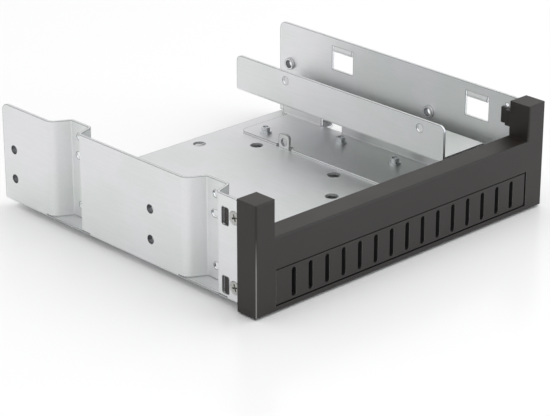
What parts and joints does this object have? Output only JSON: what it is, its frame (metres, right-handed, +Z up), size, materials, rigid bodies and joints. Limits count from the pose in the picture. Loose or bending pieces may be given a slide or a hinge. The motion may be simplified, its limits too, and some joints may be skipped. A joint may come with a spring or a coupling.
{
  "type": "drive bay adapter",
  "caption": "Sheet-metal tray with a notched plastic front bezel, a slotted vent panel and an inner mounting bracket, for fitting small drives in a wide bay.",
  "frame": {"origin": "bottom centre of the whole part's bounding box; the underside of the bezel is at Z = 0", "axes": "+X to the right as seen from the front, +Y from the bezel to the rear, +Z up"},
  "size_m": [0.149, 0.1424, 0.042],
  "materials": {
    "zinc_steel": "satin zinc-plated sheet",
    "bezel_plastic": "fine satin",
    "screw_steel": "bright zinc plated"
  },
  "bodies": {
    "root": {"tray": "zinc_steel", "inner_bracket": "zinc_steel", "front_bezel": "bezel_plastic", "vent_panel": "bezel_plastic", "bezel_screws_left": "screw_steel", "bezel_screws_right": "screw_steel", "bracket_nuts": "screw_steel", "bracket_screws": "screw_steel"}
  },
  "joints": []
}
